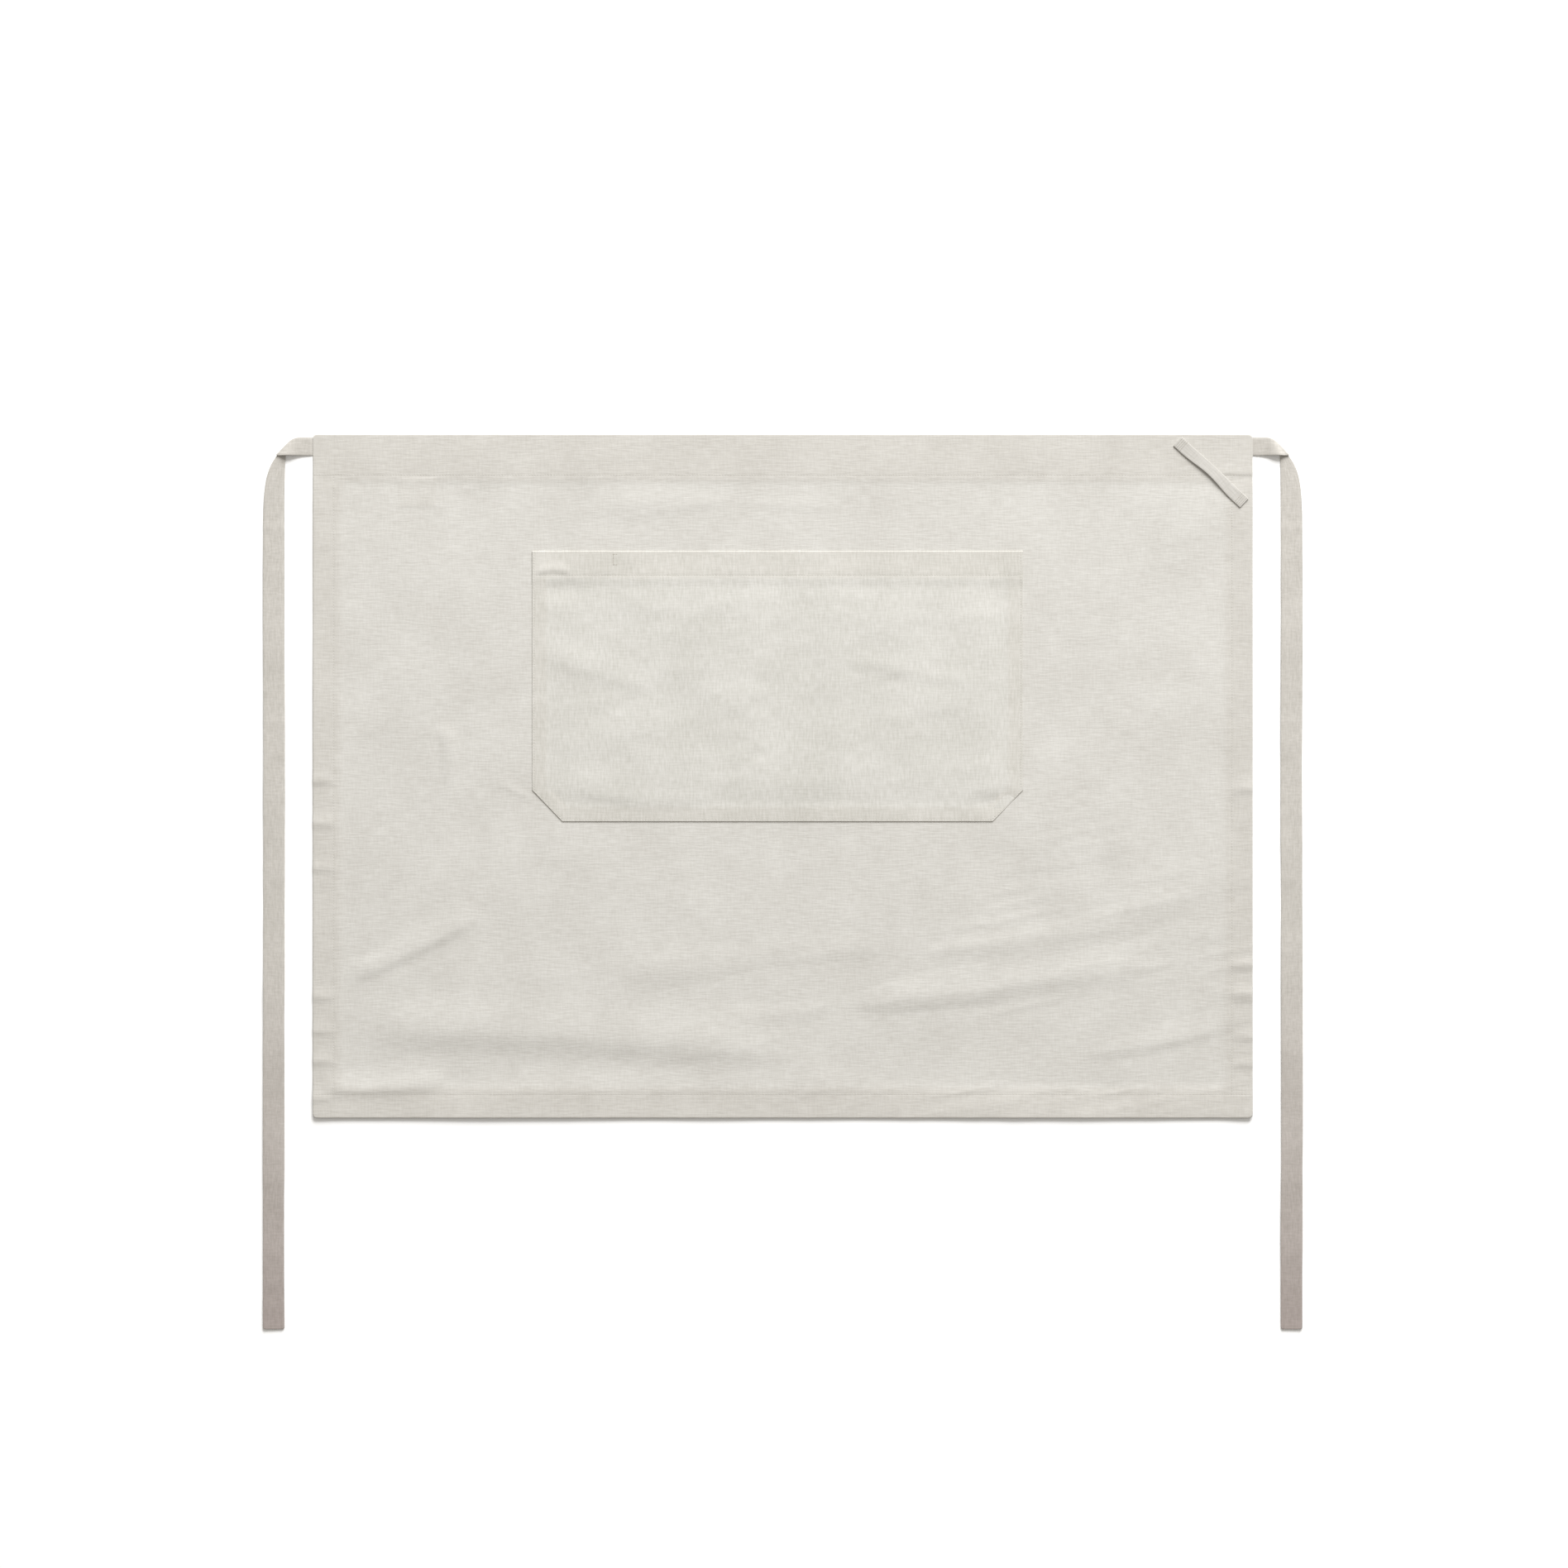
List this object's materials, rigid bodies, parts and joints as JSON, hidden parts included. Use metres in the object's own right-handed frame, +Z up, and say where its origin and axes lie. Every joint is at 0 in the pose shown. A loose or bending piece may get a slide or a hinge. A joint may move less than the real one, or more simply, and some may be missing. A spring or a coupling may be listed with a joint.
{
  "type": "waist apron",
  "caption": "Linen waist apron laid flat: hemmed panel, patch pocket with cut corners, corner hanging loop and two long folded ties.",
  "frame": {"origin": "middle of the apron's outer box, on the surface it lies on", "axes": "+X along the waist edge to the right of the apron's face, +Y towards the waist edge, +Z up out of the face"},
  "size_m": [0.995, 0.857, 0.0046],
  "materials": {
    "linen": "plain woven washed linen, matte",
    "tie_linen": "folded linen tape, matte, a little darker than the panel",
    "thread": "pale polyester-cotton sewing thread",
    "tack_thread": "tight tack stitching, shaded between its rows",
    "label_cotton": "blank cotton label tape"
  },
  "bodies": {
    "apron": {"panel": "linen", "top_hem": "linen", "bottom_hem": "linen", "left_hem": "linen", "right_hem": "linen", "care_label": "label_cotton", "top_hem_stitching": "thread", "bottom_hem_stitching": "thread", "left_hem_stitching": "thread", "right_hem_stitching": "thread", "pocket_border": "linen", "pocket_stitching": "thread", "loop_upper_end": "linen", "loop_lower_end": "linen", "loop_upper_stitching": "tack_thread", "loop_lower_stitching": "tack_thread", "left_tie_root": "tie_linen", "right_tie_root": "tie_linen"},
    "pocket": {"pocket_front": "linen", "pocket_allowance": "linen", "pocket_hem": "linen", "pocket_hem_stitching": "thread", "pocket_tack": "tack_thread"},
    "hanging_loop": {"loop_span": "linen"},
    "left_tie": {"left_tie_tab": "tie_linen"},
    "left_tie_run": {"left_tie_run": "tie_linen"},
    "left_tie_end": {"left_tie_end": "tie_linen"},
    "right_tie": {"right_tie_tab": "tie_linen"},
    "right_tie_run": {"right_tie_run": "tie_linen"},
    "right_tie_end": {"right_tie_end": "tie_linen"}
  },
  "joints": [
    {"name": "pocket_open", "type": "hinge", "parent": "apron", "child": "pocket", "pos_m": [-0.005, 0.0628, 0.0019], "axis": [1, 0, 0], "range_deg": [0, 8]},
    {"name": "loop_lift", "type": "hinge", "parent": "apron", "child": "hanging_loop", "pos_m": [0.41383, 0.3964, 0.0017], "axis": [-0.7326, 0.6807, 0], "range_deg": [0, 70]},
    {"name": "left_tie_flip", "type": "hinge", "parent": "apron", "child": "left_tie", "pos_m": [-0.45, 0.41675, 0.002], "axis": [0, -1, 0], "range_deg": [-165, 0]},
    {"name": "left_tie_unfold", "type": "hinge", "parent": "left_tie", "child": "left_tie_run", "pos_m": [-0.47675, 0.41675, 0.00135], "axis": [0.7071, 0.7071, 0], "range_deg": [0, 179.9]},
    {"name": "left_tie_fold", "type": "hinge", "parent": "left_tie_run", "child": "left_tie_end", "pos_m": [-0.48725, -0.0205, 0.00135], "axis": [-1, 0, 0], "range_deg": [0, 179.9]},
    {"name": "right_tie_flip", "type": "hinge", "parent": "apron", "child": "right_tie", "pos_m": [0.45, 0.41675, 0.002], "axis": [0, 1, 0], "range_deg": [-165, 0]},
    {"name": "right_tie_unfold", "type": "hinge", "parent": "right_tie", "child": "right_tie_run", "pos_m": [0.47675, 0.41675, 0.00135], "axis": [0.7071, -0.7071, 0], "range_deg": [0, 179.9]},
    {"name": "right_tie_fold", "type": "hinge", "parent": "right_tie_run", "child": "right_tie_end", "pos_m": [0.48725, -0.0205, 0.00135], "axis": [-1, 0, 0], "range_deg": [0, 179.9]}
  ]
}
